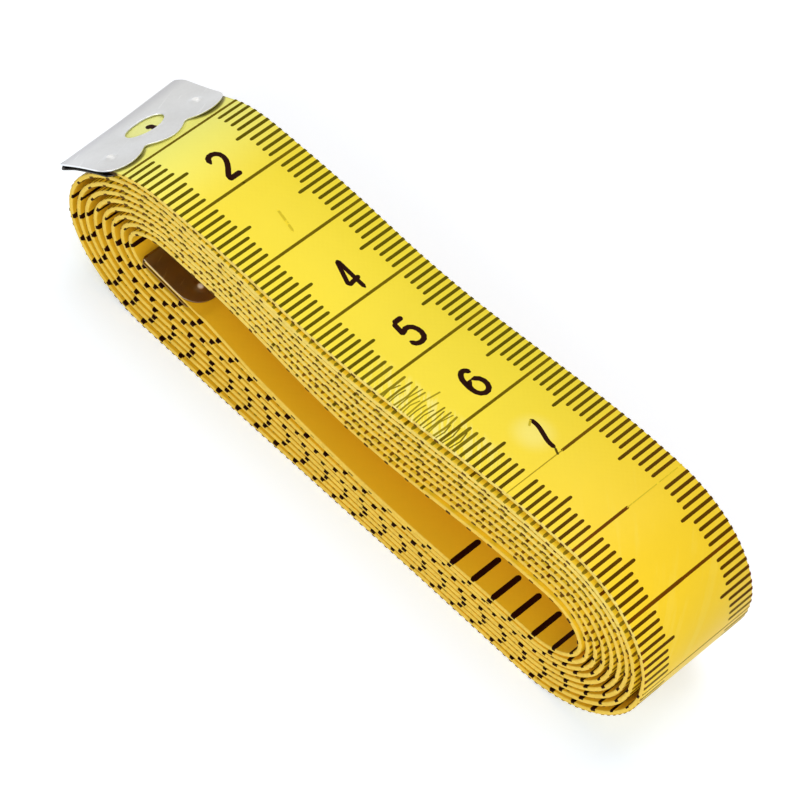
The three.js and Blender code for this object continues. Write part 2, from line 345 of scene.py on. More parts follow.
def on_tape(place, across, height):
    """Points at a distance along the tape, across it and above its middle: the point of
    the middle line, plus the outward direction times the height."""
    place, across, height = np.broadcast_arrays(place, across, height)
    height = np.where(height < 0, height * (1 - pressed(place)), height) - droop(place, across)
    points = read_off(place, places, normals) * height[..., None]
    points += read_off(place, places, middles)
    points[..., 1] += across
    return points


def edge_profile(half_width, low, high, radius):
    """A rounded rectangle as (across, height) pairs: four quarter circles of three points
    each, joined by straight sides."""
    y, high, low = half_width - radius, high - radius, low + radius
    turns = np.linspace(0, np.pi / 2, 3) + np.arange(4)[:, None] * np.pi / 2
    centres = np.array([(y, high), (-y, high), (-y, low), (y, low)])[:, None]
    circle = np.stack([np.cos(turns), np.sin(turns)], axis=-1)
    return (centres + radius * circle).reshape(-1, 2)


profile = edge_profile(tape_width / 2, back_height, face_height, edge_radius)


def ribbon(name, start, end):
    """The tape between two distances: the profile at every section place from start to
    end. Both ends are closed by strips of quads across the profile."""
    inside = places[(places > start + 0.04) & (places < end - 0.04)]
    stations = np.concatenate([[start], inside, [end]])
    around = len(profile)
    points = on_tape(stations[:, None], profile[None, :, 0], profile[None, :, 1])
    uv = np.stack(np.broadcast_arrays(stations[:, None], profile[None, :, 0]), axis=-1) * MM
    j = np.arange(around // 2 - 1)
    cap = np.stack([j, j + 1, around - 2 - j, around - 1 - j], axis=1)
    faces = np.concatenate([grid_faces(len(stations), around), cap[:, ::-1],
                            cap + (len(stations) - 1) * around])
    piece = new_piece(name, points, faces, uv, smooth=True)
    piece.data.set_sharp_from_angle(angle=np.radians(50))
    inches = (face_height - profile[:, 1]) / tape_thickness
    keep_on_points(piece, "inch_side", np.tile(inches, len(stations)))
    return piece


tape_coil = ribbon("wound_tape", split_place, tape_end)
loose_end = ribbon("loose_tape_end", tape_start, split_place)
print("ribbon triangles:", triangle_count(tape_coil), triangle_count(loose_end))

# %% [markdown]
# ## The print
#
# The scale is ink on the coating. A bump or a painted texture would blur, because the
# tape is 1.6 metres long and its lines are less than half a millimetre wide. So each
# line is a thin closed sliver of its own, laid along the tape. It stands a hundredth of
# a millimetre proud and reaches a little way into the coating, because the ink soaks
# into the cut edge and shows there as a dot. Those dots make the pattern on the near
# side of the hank.
#
# Every mark is a stroke: a centre line of a few stations with a half width at each.
# All the strokes of one kind are worked out in one go.

# %% Strokes of ink
ink_proud, ink_depth = 0.012, 0.05


def ink(name, place, across, half_width, depth, fade, face):
    """Closed slivers of ink. place and across hold one row of stations for each stroke.
    The sides lie half a width to each side of the centre line, square to it, and the
    top and bottom follow the tape's face. face is 1 for centimetres, -1 for inches."""
    strokes, stations = place.shape
    along, aside = np.gradient(place, axis=1), np.gradient(across, axis=1)
    size = np.hypot(along, aside)
    left_place, left_across = -aside / size * half_width, along / size * half_width
    level = face_height if face > 0 else back_height
    top, bottom = level + face * ink_proud, level - face * depth
    side, under = np.array([1, -1, -1, 1]), np.array([0, 0, 1, 1])
    height = top + (bottom - top)[..., None] * under
    points = on_tape(place[..., None] + left_place[..., None] * side,
                     across[..., None] + left_across[..., None] * side, height)
    one = np.concatenate([grid_faces(stations, 4), [[0, 3, 2, 1]],
                          [[0, 1, 2, 3] + np.full(4, 4 * (stations - 1))]])
    faces = one[None] + (np.arange(strokes) * stations * 4)[:, None, None]
    if face < 0:
        faces = faces[..., ::-1]
    piece = new_piece(name, points, faces)
    keep_on_points(piece, "fade", np.repeat(fade.ravel(), 4))
    return piece


coil_print, end_print = [], []


def printed(name, place, across, half_width, depth=ink_depth, fade=0.0, face=1):
    """Ink on the wound tape and, as a piece of its own, on its loose end. A stroke
    belongs to the loose end if its middle lies before the place where the two part."""
    values = place, across, half_width, depth, fade
    values = [np.broadcast_to(value, place.shape) for value in values]
    loose = place.mean(axis=1) < split_place
    for these, suffix, made in ((~loose, "", coil_print), (loose, "_loose_end", end_print)):
        made.append(ink(name + suffix, *[value[these] for value in values], face))
    print(name, len(place), "strokes,", triangle_count(coil_print[-1]), "triangles")


def round_ends(from_end, half_width):
    """Half widths that close a stroke in a half circle: the square root of one less the
    square of how far a station is into the end, in half widths."""
    into = np.clip(1 - from_end / half_width, 0, 0.97)
    return half_width * np.sqrt(1 - into**2)


# %% [markdown]
# The centimetre face has a short line at every millimetre on both edges, a longer one
# at every fifth, and a thin line right across at every tenth. The long line is two
# halves, because wear has taken some halves and left the others. Wear is stored on the
# strokes as a number called fade: 0 is fresh ink and 1 is bare coating.
#
# Between 5 and 6 centimetres the near edge is cracked, so its lines there are thin and
# bent, and some are split in two. The tape was cut after it was printed, and not quite
# evenly, so most lines of the covered turns are pinched at the edge or begin a hair
# inside it.

# %% Millimetre and centimetre lines
chance = np.random.default_rng(11)
edge = tape_width / 2 + ink_proud
tick_half_width, long_half_width = 0.21, 0.19
first_turn_end = 190.0
soaked = 0.04, 0.13                      # depth of the ink in the outer and inner turns


def cross_lines(at, length, side, half_width, begin=0.0, pinch=1.0):
    """Rows of stations of lines square to the tape, from a little inside its edge to a
    length from it. The stations crowd at the inner end, where the line is rounded off.
    pinch is the share of its width that a line keeps in the cut edge itself."""
    at, length, half_width, begin, pinch = np.broadcast_arrays(
        np.asarray(at, float), length, half_width, begin, pinch)
    share = np.array([0.0, 0.06, 0.5, 0.93, 0.985, 1.0])
    along = begin[:, None] + (length - begin)[:, None] * share
    widths = round_ends(length[:, None] - along, half_width[:, None])
    widths[:, 0] *= pinch
    return np.repeat(at[:, None], len(share), axis=1), side * (edge - along), widths


def half_wave(at, start, end):
    """Half a sine wave between two places, and nothing outside them."""
    return np.sin(np.pi * np.clip((at - start) / (end - start), 0, 1))


def soak(place):
    """Depth of the ink in the cut edge, which grows towards the inner turns."""
    return soaked[0] + (soaked[1] - soaked[0]) * smoothstep(place, 900.0, 1300.0)


millimetres = np.arange(10, 1501)
millimetres = millimetres[millimetres % 10 != 0]
tick_length = np.where(millimetres % 5 == 0, 5.5, 4.2)
cracked = np.sqrt(half_wave(millimetres, 50.5, 60.5))
bends = cracked[:, None] * chance.uniform(-0.22, 0.22, (len(millimetres), 1))

covered = millimetres > first_turn_end
begin = covered * chance.uniform(0.0, 0.16, (2, len(millimetres)))
pinch = 1 - covered * chance.uniform(0.1, 0.7, (2, len(millimetres)))

bent_line = np.array([0, 0.2, 0.9, -0.5, -0.7, -0.8])
near = cross_lines(millimetres, tick_length, -1, tick_half_width * (1 - 0.5 * cracked),
                   begin[0], pinch[0])
near = (near[0] + bends * bent_line, near[1], near[2])
far = cross_lines(millimetres, tick_length, 1, tick_half_width, begin[1], pinch[1])
splits = np.arange(50.9, 61) + chance.uniform(0.35, 0.6, 11)
bends = chance.uniform(-0.25, 0.25, (len(splits), 1))
splits = cross_lines(splits, chance.uniform(2.6, 4.4, len(splits)), -1, 0.08)
splits = (splits[0] + bends * bent_line, splits[1], splits[2])
place, across, widths = [np.concatenate(part) for part in zip(near, far, splits)]
uneven = chance.uniform(0.5, 1.0, (len(place), 1))
fade = 0.42 * half_wave(place, 47, 64) * (across < 0) * uneven
uneven = chance.uniform(0.7, 1.0, (len(place), 1))
fade = fade + 0.7 * half_wave(place, 97, 125) * uneven
fade = fade + 0.3 * (place > first_turn_end)
printed("millimetre_lines", place, across, widths, soak(place), fade)

# %% [markdown]
# Of the long lines, the near half of the one at 7 and the far half of the one at 8 are
# almost gone, the one at 9 is printed heavily, and the one at 10 is thin.

# %% Centimetre lines
centimetres = np.arange(10, 1501, 10)
line_wear = {(-1, 70): (0.07, 0.45), (1, 80): (0.07, 0.8), (-1, 90): (0.23, 0.0),
             (1, 90): (0.2, 0.0), (-1, 100): (0.09, 0.2), (1, 100): (0.09, 0.2),
             (-1, 110): (0.04, 0.95), (1, 110): (0.04, 0.95)}
wear = np.array([[line_wear.get((side, c), (long_half_width, 0.0)) for c in centimetres]
                 for side in (-1, 1)])
halves_overlap = 0.15
rows = [cross_lines(centimetres, edge + halves_overlap, side, width)
        for side, width in zip((-1, 1), wear[..., 0])]
place, across, widths = [np.concatenate(part) for part in zip(*rows)]
printed("centimetre_lines", place, across, widths, soak(place), wear[..., 1].reshape(-1, 1))

# %% [markdown]
# The other face is the inch side. It only shows on the floor of the hollow and as dots
# along the edge, so it gets its bars, one to every eighth of an inch, in plain black.

# %% Inch bars
eighth = 25.4 / 8
bar_start, bar_length, bar_half_width = -0.8, 4.9, 0.38
bars = bar_start + eighth * np.arange(1, 61 * 8 + 1)
rows = [cross_lines(bars, bar_length, side, bar_half_width, 0.0,
                    chance.uniform(0.55, 0.95, len(bars))) for side in (-1, 1)]
depth = chance.uniform(0.16, 0.32, (2 * len(bars), 1))
printed("inch_bars", *[np.concatenate(part) for part in zip(*rows)], depth=depth, face=-1)

# %% [markdown]
# ## Numbers
#
# The numbers are in a plain bold face. Font text could be wrapped round the tape, but
# it would bring in thousands of thin triangles, and it would not carry the wear. So a
# digit is a few strokes through a handful of control points, in a box one wide and one
# high. A Catmull-Rom curve turns the points into an even row of stations.

# %% Shapes of the digits
def smooth_curve(points, stations=14):
    """Catmull-Rom curve: between two control points, a cubic that passes through both
    and takes its slope at each from the points before and after it."""
    p = np.array(points, float)
    p = np.vstack([2 * p[0] - p[1], p, 2 * p[-1] - p[-2]])
    t = np.linspace(0, len(points) - 1, stations)
    i = np.minimum(t.astype(int), len(points) - 2)
    u = (t - i)[:, None]
    a, b, c, d = p[i], p[i + 1], p[i + 2], p[i + 3]
    return 0.5 * (2 * b + (c - a) * u + (2 * a - 5 * b + 4 * c - d) * u**2
                  + (3 * b - 3 * c + d - a) * u**3)


def ring(x, y, wide, high):
    """Control points of an oval, closed by repeating the first."""
    turn = np.linspace(0, 2 * np.pi, 9)
    return np.stack([x + wide * np.sin(turn), y + high * np.cos(turn)], axis=1)


six = [[(0.9, 0.82), (0.74, 0.97), (0.45, 0.99), (0.14, 0.8), (0.01, 0.46), (0, 0.32)],
       ring(0.5, 0.315, 0.5, 0.315)]
digit_strokes = {
    "0": [ring(0.5, 0.5, 0.5, 0.5)],
    "1": [[(0.62, 0), (0.62, 1)], [(0.62, 1), (0.46, 0.83), (0.14, 0.73)]],
    "2": [[(0.04, 0.73), (0.15, 0.93), (0.5, 1), (0.88, 0.9), (0.96, 0.67), (0.72, 0.42),
           (0.3, 0.18), (0.02, 0)], [(0, 0), (1, 0)]],
    "3": [[(0.03, 0.8), (0.2, 0.97), (0.5, 1), (0.86, 0.9), (0.86, 0.66), (0.62, 0.54),
           (0.36, 0.53)], [(0.36, 0.53), (0.76, 0.5), (1, 0.28), (0.82, 0.04), (0.45, 0),
           (0.12, 0.07), (0, 0.24)]],
    "4": [[(0.8, 1.09), (0.14, 0.22)], [(0.14, 0.22), (1.12, 0.29)],
          [(0.82, 1.09), (0.8, -0.14)]],
    "5": [[(0.92, 1), (0.2, 1)], [(0.2, 1), (0.08, 0.5)],
          [(0.08, 0.5), (0.42, 0.64), (0.82, 0.57), (1, 0.32), (0.85, 0.07), (0.45, 0),
           (0.12, 0.07), (0, 0.24)]],
    "6": six,
    "7": [[(0, 1), (1, 1)], [(1, 1), (0.6, 0.58), (0.34, 0)]],
    "8": [ring(0.5, 0.77, 0.4, 0.23), ring(0.5, 0.27, 0.5, 0.27)],
    "9": [[(1 - x, 1 - y) for x, y in stroke] for stroke in six],
}

# %% [markdown]
# The numbers stand across the tape, with their feet a millimetre before the line that
# they name. On the tape in front of us the 3 is only a faint trace, the top bar of the
# 7 is gone, and the 8, 9 and 10 have been rubbed away. A trace is a list of strokes,
# each with its fade and its share of the usual width.

# %% Numbers along the centimetre face
number_height, number_stroke = 4.6, 0.7
digit_width, narrow_width, digit_space = 2.8, 2.2, 0.5
rubbed_away = (8, 9, 10)
traces = {1: [([(0.62, 0), (0.62, 1.12)], 0.0, 1.15),
              ([(0.62, 1.12), (0.5, 1.0), (0.34, 0.93)], 0.0, 1.1)],
          3: [([(0.62, 0.89), (0.45, 0.5), (0.24, 0.03)], 0.84, 0.5)],
          4: [(stroke, 0.0, 0.84) for stroke in digit_strokes["4"]],
          7: [([(0.81, 1.04), (0.77, 0.7), (0.39, 0.16), (0.33, -0.16)], 0.0, 0.85),
              ([(0.33, -0.16), (0.22, -0.26), (0.1, -0.38)], 0.1, 0.42),
              ([(0.8, 1.02), (0.4, 0.88)], 0.7, 0.4)]}


def number_strokes(number):
    """Rows of (place, across, half width, fade) for a number. Up is back towards the
    outer end, and right is across the tape."""
    text = str(number)
    width = narrow_width if len(text) > 2 else digit_width
    left = -(len(text) * width + (len(text) - 1) * digit_space) / 2
    rows = []
    for k, character in enumerate(text):
        strokes = traces.get(number) or [(s, 0.0, 1.0) for s in digit_strokes[character]]
        for stroke, fade, share in strokes:
            curve = smooth_curve(stroke)
            lean = number_stroke / 2
            across = left + k * (width + digit_space) + lean + curve[:, 0] * (width - 2 * lean)
            place = 10 * number - 1 - lean - curve[:, 1] * (number_height - 2 * lean)
            run = np.concatenate([[0], np.cumsum(np.hypot(np.diff(place), np.diff(across)))])
            widths = round_ends(np.minimum(run[-1] - run, run), lean * share)
            rows.append((place, across, widths, np.full(len(run), fade)))
    return rows


rows = [row for number in range(1, 151) if number not in rubbed_away
        for row in number_strokes(number)]
place, across, widths, fade = [np.array(part) for part in zip(*rows)]
printed("numbers", place, across, widths, fade=fade)

# %% [markdown]
# ## The clips
#
# Each end of the tape is held in a piece of tinplate, folded over it and pressed. The
# mouth is cut into three round lobes. The side where the scale begins has an oval
# window and two pips, stamped from below: that is the centimetre side at the outer end
# and the inch side at the inner end.
#
# Box modelling such a sheet is slow, so its middle is worked out as two grids that share
# their border: the side with the window, and the fold with the plain side. A Solidify
# modifier then gives it its thickness, and a small Bevel softens the cut edges.
#
# The grid round the window is an O-grid: each of its lines runs from a point on the
# window to a point on the outline, so both edges are followed exactly.

# %% The middle surface of a clip
lobes, notch_depth = 3, 1.4
near_corner, far_corner = 0.7, 1.8
half_sheet = 9.95                        # half the clip's width, a hair inside the CAD's
window_length, window_width, window_place = 3.0, 5.8, 4.5
pip_radius, pip_height, pip_spacing = 0.8, 0.3, 14.2
lobe_width = 2 * half_sheet / lobes
lobe_radius = ((lobe_width / 2) ** 2 + notch_depth**2) / (2 * notch_depth)
lobe_lift, rim_lift = 0.24, 0.12
softer_all_round, softer_at_corner = 3, 21
tin_sheet = 0.2
sheet_gap = 0.03 + tin_sheet / 2         # from the tape to the middle of the sheet
fold_radius = cad_thickness / 2 + sheet_gap
fold_place = fold_radius + tin_sheet / 2
columns = 61                             # points across the sheet, in both grids


def mouth_edge(across):
    """How far the sheet reaches at a place across it: an arc for each lobe."""
    across = np.asarray(across, float)
    from_middle = (across + half_sheet) % lobe_width - lobe_width / 2
    from_middle = np.where(across >= half_sheet - 1e-6, lobe_width / 2, from_middle)
    return clip_length - lobe_radius + np.sqrt(lobe_radius**2 - from_middle**2)


def half_width_at(x, side):
    """Half the clip's width near the fold, whose corners are rounded in plan: a quarter
    circle at each, with the larger radius where side is positive."""
    radius = np.where(side < 0, near_corner, far_corner)
    inset = radius - np.clip(x, 0, radius)
    return half_sheet - radius + np.sqrt(radius**2 - inset**2)


def pip_dents(x, across, place):
    """Height of the two pips: one less the square of the distance from the middle of
    the nearer one, in pip radii, raised to a power that rounds the rim."""
    away = np.hypot(x - place, np.abs(across) - pip_spacing / 2) / pip_radius
    return pip_height * np.clip(1 - away**2, 0, 1) ** 1.3


def window_side(level, pips, rings=28):
    """O-grid: a point of the oval window, moved towards a point of the outline by an
    even share. The outline is made softer first, by moving its points to the middle of
    their neighbours: three times all along, apart from the fold, and more often at the
    near corner of the mouth. The pips are added to the height, the outer lobes stand up a
    little from the tape, and so does the window's rim. A point is its place, across,
    height and across again."""
    t = np.linspace(-1, 1, columns)
    side = np.linspace(fold_place, mouth_edge(half_sheet), 23)[1:-1]
    outline = np.concatenate([
        np.stack([np.full(columns, fold_place), t * half_width_at(fold_place, t)], axis=1),
        np.stack([side, half_width_at(side, 1)], axis=1),
        np.stack([mouth_edge(-t * half_sheet), -t * half_sheet], axis=1),
        np.stack([side[::-1], -half_width_at(side[::-1], -1)], axis=1)])
    from_corner = np.linalg.norm(outline - [mouth_edge(half_sheet), -half_sheet], axis=1)
    for step in range(softer_all_round + softer_at_corner):
        softer = np.exp(-((from_corner / 2.4) ** 2)) if step >= softer_all_round else 1
        softer = softer * (np.arange(len(outline)) >= len(t))
        even = (np.roll(outline, 1, axis=0) + 2 * outline + np.roll(outline, -1, axis=0)) / 4
        outline = outline + softer[:, None] * (even - outline)
    from_window = (outline - [window_place, 0]) / [window_length / 2, window_width / 2]
    oval = from_window / np.linalg.norm(from_window, axis=1)[:, None]
    oval = oval * [window_length / 2, window_width / 2] + [window_place, 0]
    plan = oval + (outline - oval) * np.linspace(0, 1, rings)[:, None, None]
    height = level + pip_dents(plan[..., 0], plan[..., 1], pips)
    lifted = 0.5 - 0.5 * np.sin(plan[..., 1] * 0.55 + 0.8)
    height = height + lobe_lift * lifted * smoothstep(plan[..., 0], window_place, 9.0)
    height = height + rim_lift * np.exp(-np.linspace(0, 9, rings))[:, None]
    points = np.concatenate([plan, height[..., None], plan[..., 1:]], axis=-1)
    quads = grid_faces(rings, len(outline))
    return points.reshape(-1, 4), np.roll(quads[:, ::-1], 1, axis=1)


def fold_and_back(level, askew):
    """The fold is half a circle from the window side round to the back; the back runs
    straight on to its own lobes. Columns lie at even shares of the width. askew is how
    far the back is drawn in on the near side."""
    t = np.linspace(-1, 1, columns)
    turn = np.linspace(np.pi / 2, 3 * np.pi / 2, 11)[:, None]
    fold_x = fold_place + fold_radius * np.cos(turn)
    half = half_width_at(fold_place * (1 + np.cos(turn)), t)
    fold_z = level + fold_radius * (np.sin(turn) - 1)
    fold = np.stack(np.broadcast_arrays(fold_x, half * t, fold_z, half * t), axis=-1)
    share = np.linspace(0, 1, 30)[1:, None]
    x = fold_place + (mouth_edge(t * half_sheet) - fold_place) * share
    wide = t * half_width_at(x, t)
    drawn_in = askew * smoothstep(share, 0.0, 0.3) * (1 - t) / 2
    back = np.broadcast_arrays(x, wide + drawn_in, level - 2 * fold_radius, wide)
    points = np.concatenate([fold, np.stack(back, axis=-1)])
    return points.reshape(-1, 4), grid_faces(len(points), len(t), closed=False)


# %% [markdown]
# The two blocks are put together in the clip's own frame and then turned into place.
# That frame runs from the tape's end into the tape, across it, and out of its printed
# side. The same lengths go into the UV map, so that scratches lie along the sheet. The
# outer clip was folded a little askew and follows the bent end; the inner one is true.

# %% Two clips
outer_pips, inner_pips = 5.95, 7.1       # places of the pips, from the fold
outer_shift, inner_shift = -0.35, 0.35
corner_drawn_out, back_drawn_in = 0.35, 0.25


def clip(name, end_place, inward, printed_up, pips, shift, bent):
    """A clip on the tape's end. A point of its frame goes to the end's place plus its
    three lengths along the frame's three directions. shift moves it across the tape, and
    bent is 1 where it is askew and follows the droop of the end."""
    upper, upper_quads = window_side(fold_radius, pips)
    lower, lower_quads = fold_and_back(fold_radius, back_drawn_in * bent)
    local = np.concatenate([upper, lower])
    quads = np.concatenate([upper_quads, lower_quads + len(upper)])
    end = on_tape(end_place, 0.0, 0.0)
    frame_axes = np.stack([inward, [0.0, 1.0, 0.0], printed_up])
    placed = local[:, :3] + [-tape_inset, shift, 0]
    from_mouth = np.clip(1 - local[:, 0] / clip_length, 0, 1)
    near = np.clip(-local[:, 1] / half_sheet, 0, 1)
    placed[:, 0] -= bent * corner_drawn_out * from_mouth * near
    placed[:, 2] += bent * (droop(tape_inset, 0.0) - droop(local[:, 0], local[:, 1]))
    points = end + placed @ frame_axes
    around = local[:, 0] + np.where(np.arange(len(local)) < len(upper), 0.0, 12.0)
    uv = np.stack([around, local[:, 3]], axis=1) * MM
    piece = new_piece(name, points, quads, uv, smooth=True)
    shell = bmesh.new()
    shell.from_mesh(piece.data)
    bmesh.ops.remove_doubles(shell, verts=shell.verts, dist=0.002 * MM)
    bmesh.ops.recalc_face_normals(shell, faces=shell.faces)
    shell.to_mesh(piece.data)
    shell.free()
    sheet = piece.modifiers.new("sheet", "SOLIDIFY")
    sheet.thickness, sheet.offset = tin_sheet * MM, 0.0
    soften = piece.modifiers.new("cut_edges", "BEVEL")
    soften.width, soften.segments = 0.05 * MM, 2
    soften.limit_method, soften.angle_limit = "ANGLE", np.radians(50)
    return piece


outer_clip = clip("outer_end_clip", tape_start, forward[0], outward[0],
                  outer_pips, outer_shift, 1)
inner_clip = clip("inner_end_clip", tape_end, -forward[-1], -outward[-1],
                  inner_pips, inner_shift, 0)
print("clip triangles before its thickness:", triangle_count(outer_clip))

# %% [markdown]
# ## Who carries what
#
# Every piece rides on a CAD body and stands for the CAD solid in the same place, which is
# hidden. The loose end and its print don't ride: their place is written into their points.

# %% Bodies and stand-ins
for piece in [tape_coil, inner_clip, *coil_print]:
    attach(piece, "hank")
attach(outer_clip, "free_end")

bend_end = on_tape(clip_length + 1.6, 0.0, 0.0) * MM
for piece in [loose_end, *end_print]:
    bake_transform(piece)

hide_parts("tape_coil")
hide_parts("tape_free_end")
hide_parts("outer_clip")
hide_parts("inner_clip")

# %% [markdown]
# ## Finishes
#
# Three effects are shared, so each is a shader node group that is built once: mottling
# (a colour that drifts a little from place to place), threads (the weave that shows
# faintly through the coating) and scratches (fine straight marks along one direction).
# The groups give out colours, masks and heights only. The shader itself stays in each
# material, where its gloss can be set on its own sockets.

# %% Node helpers
class Nodes:
    """Adds nodes to a tree in short lines: each call makes one node, sets its inputs,
    and gives back its first output. An input may be a value or another output."""

    def __init__(self, tree):
        self.tree = tree

    def set(self, socket, value):
        if isinstance(value, bpy.types.NodeSocket):
            self.tree.links.new(value, socket)
        else:
            socket.default_value = value

    def add(self, kind, inputs=(), output=0, **settings):
        node = self.tree.nodes.new("ShaderNode" + kind)
        for key, value in settings.items():
            setattr(node, key, value)
        for key, value in dict(inputs).items():
            self.set(node.inputs[key], value)
        return node.outputs[output]

    def math(self, operation, *values, clamp=False):
        return self.add("Math", enumerate(values), operation=operation, use_clamp=clamp)

    def times(self, *values):
        return self.math("MULTIPLY", *values)

    def plus(self, *values):
        return self.math("ADD", *values)

    def minus(self, *values):
        return self.math("SUBTRACT", *values)

    def stored(self, name):
        """A number that is kept on the points of the mesh."""
        return self.add("Attribute", output=2, attribute_name=name, attribute_type="GEOMETRY")

    def times_plus(self, value, factor, more):
        return self.math("MULTIPLY_ADD", value, factor, more)

    def parts(self, vector):
        """The three parts of a vector."""
        return self.add("SeparateXYZ", {0: vector}).node.outputs

    def distance(self, first, second):
        return self.add("VectorMath", {0: first, 1: second}, 1, operation="DISTANCE")

    def mix(self, share, first, second):
        return self.add("Mix", {0: share, 6: first, 7: second}, output=2, data_type="RGBA")

    def ramp(self, value, low, high, to_low=0.0, to_high=1.0):
        """From to_low to to_high, while the value goes smoothly from low to high."""
        return self.add("MapRange", enumerate([value, low, high, to_low, to_high]),
                        interpolation_type="SMOOTHSTEP")

    def band(self, value, start, whole, last, end):
        """0 before start, 1 from whole to last, and 0 again from end."""
        return self.times(self.ramp(value, start, whole), self.ramp(value, end, last))

    def noise(self, vector, scale, detail=2.0, roughness=0.5):
        return self.add("TexNoise", {"Vector": vector, "Scale": scale, "Detail": detail,
                                     "Roughness": roughness})

    def bump(self, shader, strength, distance, height):
        self.set(shader["Normal"], self.add(
            "Bump", {"Strength": strength, "Distance": distance, "Height": height}))

    def group(self, tree, output=0, **inputs):
        return self.add("Group", inputs, output, node_tree=tree)


def start_group(name, inputs, outputs):
    """The helper for a new shader group, what comes into it and what goes out. inputs
    holds (name, kind, default), and outputs holds (name, kind)."""
    tree = bpy.data.node_groups.new(name, "ShaderNodeTree")
    def socket(label, kind, way):
        return tree.interface.new_socket(label, in_out=way, socket_type="NodeSocket" + kind)

    for label, kind, default in inputs:
        made = socket(label, kind, "INPUT")
        if default is not None:
            made.default_value = default
    for label, kind in outputs:
        socket(label, kind, "OUTPUT")
    into, out = [tree.nodes.new("NodeGroup" + end) for end in ("Input", "Output")]
    return Nodes(tree), into.outputs, out.inputs


def srgb(red, green, blue):
    """A colour as a picture shows it, 0 to 255, made linear with the sRGB curve."""
    c = np.array([red, green, blue]) / 255
    return (*np.where(c <= 0.04045, c / 12.92, ((c + 0.055) / 1.055) ** 2.4), 1.0)


# %% [markdown]
# Mottling multiplies a colour by one plus a small share of a cloudy noise. Two sizes of
# cloud are added, because real coatings vary both from hand to hand and from thread to
# thread.

# %% Mottling group
n, into, out = start_group(
    "mottling",
    [("Color", "Color", (1, 1, 1, 1)), ("Vector", "Vector", None),
     ("Scale", "Float", 100.0), ("Amount", "Float", 0.05)],
    [("Color", "Color"), ("Cloud", "Float")])
mottling = n.tree
broad = n.noise(into["Vector"], into["Scale"], 3.0)
fine = n.noise(into["Vector"], n.times(into["Scale"], 9.0), 2.0)
cloud = n.plus(n.times(broad, 0.7), n.times(fine, 0.3))
drift = n.minus(n.times(cloud, 2.0), 1.0)
gain = n.plus(n.times(drift, into["Amount"]), 1.0)
tint = n.add("VectorMath", {0: into["Color"], 3: gain}, operation="SCALE")
n.set(out["Color"], tint)
n.set(out["Cloud"], cloud)

# %% [markdown]
# The weave is two sets of threads that cross. A sine along the tape times a sine across
# it gives the over and under of a plain weave, and a little noise keeps the threads
# from being perfect. It comes out as a height, for a Bump node in the material. The
# number of threads is counted per metre.

# %% Threads group
n, into, out = start_group(
    "threads",
    [("Vector", "Vector", None), ("Threads", "Float", 2600.0), ("Unevenness", "Float", 0.3)],
    [("Height", "Float")])
threads = n.tree
turns = n.times(into["Threads"], np.pi)
wobble = n.noise(into["Vector"], 900.0, 1.0)
shift = n.times(n.times(wobble, into["Unevenness"]), 6.0)
split = n.parts(into["Vector"])
waves = [n.math("SINE", n.plus(n.times(split[axis], turns), shift)) for axis in (0, 1)]
woven = n.times_plus(n.times(*waves), 0.5, 0.5)
n.set(out["Height"], woven)

# %% [markdown]
# Scratches are noise that is stretched a great deal along one direction, and then cut
# so that only its highest ridges are left. The same group gives the rolled grain of the
# tin and the flecks where the coating has been scuffed.

# %% Scratches group
n, into, out = start_group(
    "scratches",
    [("Vector", "Vector", None), ("Scale", "Float", 400.0), ("Stretch", "Float", 12.0),
     ("Turn", "Float", 0.0), ("Cover", "Float", 0.3)],
    [("Mask", "Float"), ("Grain", "Float")])
scratches = n.tree
split = n.parts(n.add("VectorRotate", {"Vector": into["Vector"], "Angle": into["Turn"]},
                      rotation_type="Z_AXIS"))
pulled = n.math("DIVIDE", split[0], into["Stretch"])
pulled = n.add("CombineXYZ", {0: pulled, 1: split[1], 2: split[2]})
grain = n.noise(pulled, into["Scale"], 4.0, 0.6)
level = n.minus(0.78, n.times(into["Cover"], 0.5))
mask = n.ramp(grain, level, n.plus(level, 0.08))
n.set(out["Mask"], mask)
n.set(out["Grain"], grain)

# %% [markdown]
# ## Coated cloth
#
# The centimetre face is a clear yellow with a soft gloss, because the coating fills the cloth.
# It is pale lemon at the outer end and palest inside the clip, turns golden between 6 and 9
# centimetres, and is dull where it goes down under the hank. The inch face is painted a deeper
# amber, which stands in for the shade of the hollow where it shows. Along the cut edges the
# coating ends and the fibres show, so the yellow turns to gold there, and the gloss is lost.
# In the upper layers that gold is painted paler, as the light that falls on them.
#
# Where fingers have rubbed the near edge, between 5 and 7 centimetres, the coating has pale
# slanting flecks. A pale cloud shows where the 7 has lost its bar, and after it pale streaks
# along the tape's folds are painted highlights. Painted shade darkens the cut edge inside the
# clip, and a painted shadow lies on the tape along the clip's mouth, whose lobes are found
# again here with the same arcs that shaped them.

# %% Material of the tape
def new_material(name):
    """A material, the helper for its node tree, and the sockets of its bare shader."""
    material = bpy.data.materials.new(name)
    material.use_nodes = True
    tree = material.node_tree
    return material, Nodes(tree), tree.nodes["Principled BSDF"].inputs


coated_cloth, n, shader = new_material("coated_cloth")
on_cloth = n.add("UVMap", uv_map="tape")
in_space = n.add("TexCoord", output=3)
split = n.parts(on_cloth)
along_tape, across_tape = split[0], split[1]

